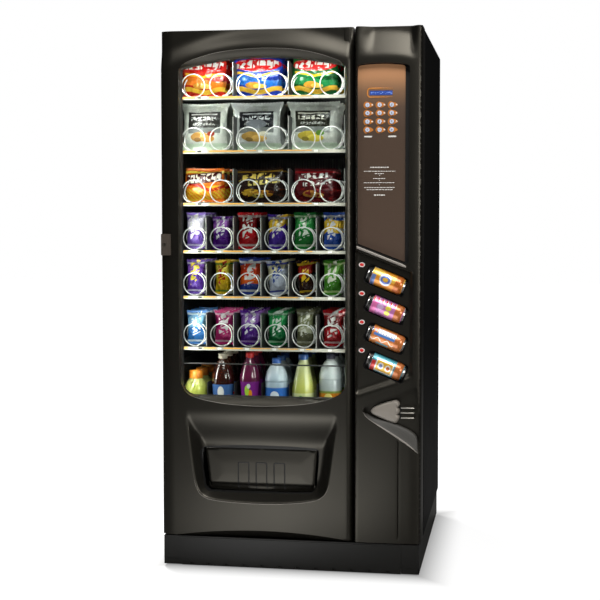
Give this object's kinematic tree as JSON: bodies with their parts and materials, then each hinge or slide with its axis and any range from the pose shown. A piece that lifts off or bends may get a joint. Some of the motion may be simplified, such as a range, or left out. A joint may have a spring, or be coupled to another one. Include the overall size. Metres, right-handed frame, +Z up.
{
  "type": "snack vending machine",
  "caption": "Glass-front snack and drink vending machine with spiral trays, keypad column, can-shaped drink buttons, coin entry and a push-in delivery flap.",
  "frame": {"origin": "middle of the footprint, on the floor", "axes": "+Z up, -Y out of the front of the machine, +X to the right of a person who faces it"},
  "size_m": [0.89, 0.9, 1.83],
  "materials": {
    "cabinet_paint": "fine-textured black powder coat",
    "rear_zinc": "dark grey powder coat",
    "liner_black": "ribbed black liner",
    "plinth_paint": "black powder coat",
    "foot_steel": "zinc-plated",
    "tray_steel": "light grey coat",
    "rail_plastic": "cream",
    "wire": "bright nickel",
    "motor_plastic": "off-white",
    "machine_black": "gloss black",
    "fin_metal": "bare fins",
    "changer_plastic": "dark grey",
    "box_steel": "zinc-plated",
    "board": "green circuit board",
    "door_steel": "black",
    "fascia": "satin black, warm pearl",
    "glass": "clear",
    "panel": "copper to charcoal",
    "key_cap": "pale",
    "screen": "blue display",
    "can_face": "printed drink-can front",
    "bezel_grey": "fine texture",
    "lock_metal": "brown-grey",
    "bin_plastic": "black",
    "lamp": "white tube",
    "fan_plastic": "black"
  },
  "bodies": {
    "cabinet": {"cabinet_shell": "cabinet_paint", "rear_panel": "rear_zinc", "merch_liner": "liner_black", "plinth_frame": "plinth_paint", "kick_plate": "plinth_paint", "levelling_feet": "foot_steel", "hinge_brackets": "foot_steel", "wide_lane_trays": "tray_steel", "narrow_lane_trays": "tray_steel", "bottle_shelf": "tray_steel", "lane_dividers": "tray_steel", "price_rails": "rail_plastic", "spiral_motors": "motor_plastic", "stored_spirals": "wire", "compressor": "machine_black", "cooling_coils": "fin_metal", "coin_mechanism": "changer_plastic", "cash_box": "box_steel", "control_board": "board"},
    "outer_door": {"door_frame": "door_steel", "main_fascia": "fascia", "column_fascia": "fascia", "window_glass": "glass", "control_panel": "panel", "display_module": "screen", "coin_entry": "bezel_grey", "lock_plate": "lock_metal", "delivery_bin": "bin_plastic", "door_lamps": "lamp"},
    "flap": {"delivery_flap": "fascia"},
    "lock": {"lock_barrel": "lock_metal"},
    "fan": {"fan_rotor": "fan_plastic"},
    "drink_button_1": {"can_button_1": "can_face"},
    "drink_button_2": {"can_button_2": "can_face"},
    "drink_button_3": {"can_button_3": "can_face"},
    "drink_button_4": {"can_button_4": "can_face"},
    "selection_key_01": {"key_01": "key_cap"},
    "selection_key_02": {"key_02": "key_cap"},
    "selection_key_03": {"key_03": "key_cap"},
    "selection_key_04": {"key_04": "key_cap"},
    "selection_key_05": {"key_05": "key_cap"},
    "selection_key_06": {"key_06": "key_cap"},
    "selection_key_07": {"key_07": "key_cap"},
    "selection_key_08": {"key_08": "key_cap"},
    "selection_key_09": {"key_09": "key_cap"},
    "selection_key_10": {"key_10": "key_cap"},
    "selection_key_11": {"key_11": "key_cap"},
    "selection_key_12": {"key_12": "key_cap"},
    "turning_tray3_spiral_1": {"tray3_spiral_1": "wire"},
    "turning_tray3_spiral_2": {"tray3_spiral_2": "wire"},
    "turning_tray3_spiral_3": {"tray3_spiral_3": "wire"},
    "turning_tray3_spiral_4": {"tray3_spiral_4": "wire"},
    "turning_tray3_spiral_5": {"tray3_spiral_5": "wire"},
    "turning_tray3_spiral_6": {"tray3_spiral_6": "wire"},
    "turning_tray4_spiral_1": {"tray4_spiral_1": "wire"},
    "turning_tray4_spiral_2": {"tray4_spiral_2": "wire"},
    "turning_tray4_spiral_3": {"tray4_spiral_3": "wire"},
    "turning_tray4_spiral_4": {"tray4_spiral_4": "wire"},
    "turning_tray4_spiral_5": {"tray4_spiral_5": "wire"},
    "turning_tray4_spiral_6": {"tray4_spiral_6": "wire"}
  },
  "joints": [
    {"name": "cabinet_door_hinge", "type": "hinge", "parent": "cabinet", "child": "outer_door", "pos_m": [0.434, -0.337, 0.96], "axis": [0, 0, 1], "range_deg": [0, 100]},
    {"name": "bin_flap_hinge", "type": "hinge", "parent": "outer_door", "child": "flap", "pos_m": [-0.11, -0.389, 0.395], "axis": [1, 0, 0], "range_deg": [0, 70]},
    {"name": "can_button_1_press", "type": "slide", "parent": "outer_door", "child": "drink_button_1", "axis": [0, 1, 0], "range_m": [0, 0.004], "stiffness_N_per_m": 400},
    {"name": "can_button_2_press", "type": "slide", "parent": "outer_door", "child": "drink_button_2", "axis": [0, 1, 0], "range_m": [0, 0.004], "stiffness_N_per_m": 400},
    {"name": "can_button_3_press", "type": "slide", "parent": "outer_door", "child": "drink_button_3", "axis": [0, 1, 0], "range_m": [0, 0.004], "stiffness_N_per_m": 400},
    {"name": "can_button_4_press", "type": "slide", "parent": "outer_door", "child": "drink_button_4", "axis": [0, 1, 0], "range_m": [0, 0.004], "stiffness_N_per_m": 400},
    {"name": "key_01_press", "type": "slide", "parent": "outer_door", "child": "selection_key_01", "axis": [0, 1, 0], "range_m": [0, 0.002], "stiffness_N_per_m": 300},
    {"name": "key_02_press", "type": "slide", "parent": "outer_door", "child": "selection_key_02", "axis": [0, 1, 0], "range_m": [0, 0.002], "stiffness_N_per_m": 300},
    {"name": "key_03_press", "type": "slide", "parent": "outer_door", "child": "selection_key_03", "axis": [0, 1, 0], "range_m": [0, 0.002], "stiffness_N_per_m": 300},
    {"name": "key_04_press", "type": "slide", "parent": "outer_door", "child": "selection_key_04", "axis": [0, 1, 0], "range_m": [0, 0.002], "stiffness_N_per_m": 300},
    {"name": "key_05_press", "type": "slide", "parent": "outer_door", "child": "selection_key_05", "axis": [0, 1, 0], "range_m": [0, 0.002], "stiffness_N_per_m": 300},
    {"name": "key_06_press", "type": "slide", "parent": "outer_door", "child": "selection_key_06", "axis": [0, 1, 0], "range_m": [0, 0.002], "stiffness_N_per_m": 300},
    {"name": "key_07_press", "type": "slide", "parent": "outer_door", "child": "selection_key_07", "axis": [0, 1, 0], "range_m": [0, 0.002], "stiffness_N_per_m": 300},
    {"name": "key_08_press", "type": "slide", "parent": "outer_door", "child": "selection_key_08", "axis": [0, 1, 0], "range_m": [0, 0.002], "stiffness_N_per_m": 300},
    {"name": "key_09_press", "type": "slide", "parent": "outer_door", "child": "selection_key_09", "axis": [0, 1, 0], "range_m": [0, 0.002], "stiffness_N_per_m": 300},
    {"name": "key_10_press", "type": "slide", "parent": "outer_door", "child": "selection_key_10", "axis": [0, 1, 0], "range_m": [0, 0.002], "stiffness_N_per_m": 300},
    {"name": "key_11_press", "type": "slide", "parent": "outer_door", "child": "selection_key_11", "axis": [0, 1, 0], "range_m": [0, 0.002], "stiffness_N_per_m": 300},
    {"name": "key_12_press", "type": "slide", "parent": "outer_door", "child": "selection_key_12", "axis": [0, 1, 0], "range_m": [0, 0.002], "stiffness_N_per_m": 300},
    {"name": "lock_barrel_turn", "type": "hinge", "parent": "outer_door", "child": "lock", "pos_m": [-0.432, -0.44, 1.1065], "axis": [0, -1, 0], "range_deg": [0, 90]},
    {"name": "fan_spin", "type": "hinge", "parent": "cabinet", "child": "fan", "pos_m": [0.04, -0.12, 0.29], "axis": [0, 1, 0], "continuous": true},
    {"name": "tray3_spiral_1_turn", "type": "hinge", "parent": "cabinet", "child": "turning_tray3_spiral_1", "pos_m": [-0.366, 0, 1.2905], "axis": [0, 1, 0], "continuous": true},
    {"name": "tray3_spiral_2_turn", "type": "hinge", "parent": "cabinet", "child": "turning_tray3_spiral_2", "pos_m": [-0.2685, 0, 1.2905], "axis": [0, 1, 0], "continuous": true},
    {"name": "tray3_spiral_3_turn", "type": "hinge", "parent": "cabinet", "child": "turning_tray3_spiral_3", "pos_m": [-0.171, 0, 1.2905], "axis": [0, 1, 0], "continuous": true},
    {"name": "tray3_spiral_4_turn", "type": "hinge", "parent": "cabinet", "child": "turning_tray3_spiral_4", "pos_m": [-0.0735, 0, 1.2905], "axis": [0, 1, 0], "continuous": true},
    {"name": "tray3_spiral_5_turn", "type": "hinge", "parent": "cabinet", "child": "turning_tray3_spiral_5", "pos_m": [0.024, 0, 1.2905], "axis": [0, 1, 0], "continuous": true},
    {"name": "tray3_spiral_6_turn", "type": "hinge", "parent": "cabinet", "child": "turning_tray3_spiral_6", "pos_m": [0.1215, 0, 1.2905], "axis": [0, 1, 0], "continuous": true},
    {"name": "tray4_spiral_1_turn", "type": "hinge", "parent": "cabinet", "child": "turning_tray4_spiral_1", "pos_m": [-0.366, 0, 1.1255], "axis": [0, 1, 0], "continuous": true},
    {"name": "tray4_spiral_2_turn", "type": "hinge", "parent": "cabinet", "child": "turning_tray4_spiral_2", "pos_m": [-0.2685, 0, 1.1255], "axis": [0, 1, 0], "continuous": true},
    {"name": "tray4_spiral_3_turn", "type": "hinge", "parent": "cabinet", "child": "turning_tray4_spiral_3", "pos_m": [-0.171, 0, 1.1255], "axis": [0, 1, 0], "continuous": true},
    {"name": "tray4_spiral_4_turn", "type": "hinge", "parent": "cabinet", "child": "turning_tray4_spiral_4", "pos_m": [-0.0735, 0, 1.1255], "axis": [0, 1, 0], "continuous": true},
    {"name": "tray4_spiral_5_turn", "type": "hinge", "parent": "cabinet", "child": "turning_tray4_spiral_5", "pos_m": [0.024, 0, 1.1255], "axis": [0, 1, 0], "continuous": true},
    {"name": "tray4_spiral_6_turn", "type": "hinge", "parent": "cabinet", "child": "turning_tray4_spiral_6", "pos_m": [0.1215, 0, 1.1255], "axis": [0, 1, 0], "continuous": true}
  ],
  "couplings": [
    {"joint": "tray3_spiral_2_turn", "follows": "tray3_spiral_1_turn", "ratio": -1},
    {"joint": "tray3_spiral_4_turn", "follows": "tray3_spiral_3_turn", "ratio": -1},
    {"joint": "tray3_spiral_6_turn", "follows": "tray3_spiral_5_turn", "ratio": -1}
  ]
}
